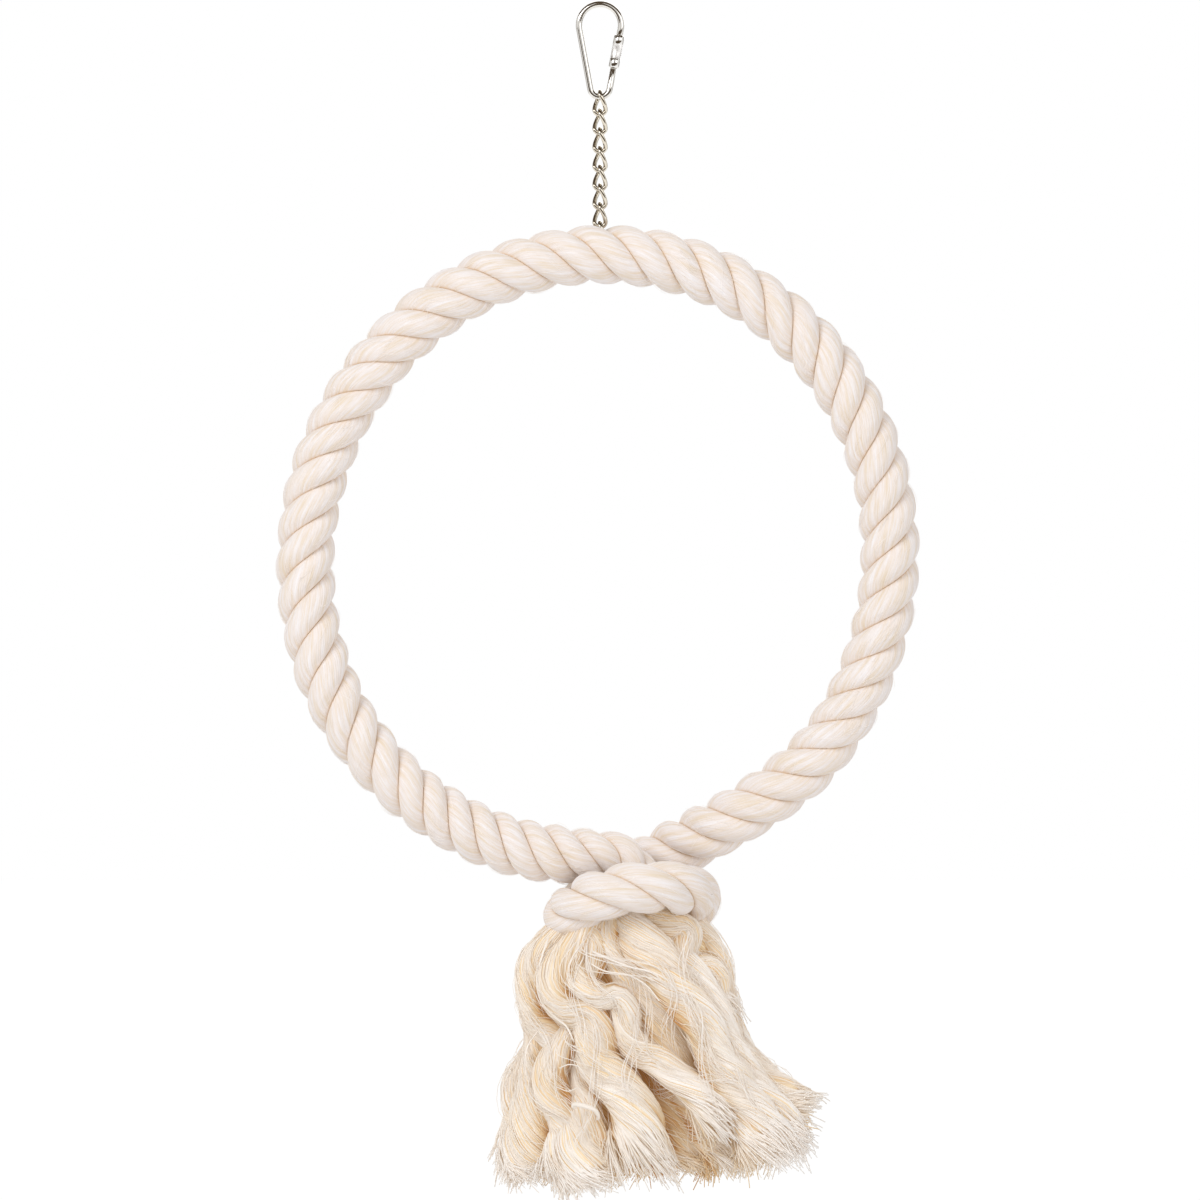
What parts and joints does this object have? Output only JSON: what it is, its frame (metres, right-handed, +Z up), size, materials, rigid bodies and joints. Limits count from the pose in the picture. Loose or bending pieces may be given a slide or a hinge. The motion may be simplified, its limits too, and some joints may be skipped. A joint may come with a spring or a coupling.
{
  "type": "hanging rope ring bird perch",
  "caption": "Hanging bird perch: a ring of thick twisted cotton rope knotted below into a frayed tassel, on a short twisted-link chain and a pear-shaped screw quick link.",
  "frame": {"origin": "inside top of the quick link, where it bears on what it hangs from", "axes": "+Z up along the hang, the ring lies in the XZ plane and its front faces -Y"},
  "size_m": [0.2504, 0.0669, 0.4666],
  "materials": {
    "plated_wire": "bright nickel plate",
    "plated_sleeve": "bright plate with a satin band",
    "plated_chain": "bright nickel plate",
    "core_steel": "drawn wire",
    "cotton_rope": "natural cotton yarn, matte",
    "cotton_yarn": "frayed natural cotton yarn, matte"
  },
  "bodies": {
    "quick_link": {"quick_link_wire": "plated_wire"},
    "sleeve": {"quick_link_sleeve": "plated_sleeve"},
    "link_1": {"chain_link_1": "plated_chain"},
    "link_2": {"chain_link_2": "plated_chain"},
    "link_3": {"chain_link_3": "plated_chain"},
    "link_4": {"chain_link_4": "plated_chain"},
    "link_5": {"chain_link_5": "plated_chain"},
    "link_6": {"chain_link_6": "plated_chain"},
    "link_7": {"chain_link_7": "plated_chain"},
    "link_8": {"chain_link_8": "plated_chain"},
    "ring": {"chain_link_9": "plated_chain", "core_wire": "core_steel", "rope_strand_1": "cotton_rope", "rope_strand_2": "cotton_rope", "rope_strand_3": "cotton_rope", "tassel_lock_1": "cotton_yarn", "tassel_lock_2": "cotton_yarn", "tassel_lock_3": "cotton_yarn", "tassel_lock_4": "cotton_yarn", "tassel_lock_5": "cotton_yarn", "tassel_lock_6": "cotton_yarn", "tassel_lock_7": "cotton_yarn", "tassel_lock_8": "cotton_yarn", "tassel_lock_9": "cotton_yarn", "tassel_lock_10": "cotton_yarn", "tassel_lock_11": "cotton_yarn", "tassel_lock_12": "cotton_yarn"}
  },
  "joints": [
    {"name": "sleeve_travel", "type": "slide", "parent": "quick_link", "child": "sleeve", "axis": [-0.1818, 0, -0.9833], "range_m": [0, 0.007]},
    {"name": "link_1_swing", "type": "hinge", "parent": "quick_link", "child": "link_1", "pos_m": [0, 0, -0.03495], "axis": [1, 0, 0], "range_deg": [-30, 30]},
    {"name": "link_2_swing", "type": "hinge", "parent": "link_1", "child": "link_2", "pos_m": [0, 0, -0.04002], "axis": [0, 1, 0], "range_deg": [-30, 30]},
    {"name": "link_3_swing", "type": "hinge", "parent": "link_2", "child": "link_3", "pos_m": [0, 0, -0.04913], "axis": [1, 0, 0], "range_deg": [-30, 30]},
    {"name": "link_4_swing", "type": "hinge", "parent": "link_3", "child": "link_4", "pos_m": [0, 0, -0.0546], "axis": [0, 1, 0], "range_deg": [-30, 30]},
    {"name": "link_5_swing", "type": "hinge", "parent": "link_4", "child": "link_5", "pos_m": [0, 0, -0.06371], "axis": [1, 0, 0], "range_deg": [-30, 30]},
    {"name": "link_6_swing", "type": "hinge", "parent": "link_5", "child": "link_6", "pos_m": [0, 0, -0.06918], "axis": [0, 1, 0], "range_deg": [-30, 30]},
    {"name": "link_7_swing", "type": "hinge", "parent": "link_6", "child": "link_7", "pos_m": [0, 0, -0.07829], "axis": [1, 0, 0], "range_deg": [-30, 30]},
    {"name": "link_8_swing", "type": "hinge", "parent": "link_7", "child": "link_8", "pos_m": [0, 0, -0.08376], "axis": [0, 1, 0], "range_deg": [-30, 30]},
    {"name": "ring_swing", "type": "hinge", "parent": "link_8", "child": "ring", "pos_m": [0, 0, -0.09287], "axis": [1, 0, 0], "range_deg": [-10, 10]}
  ]
}
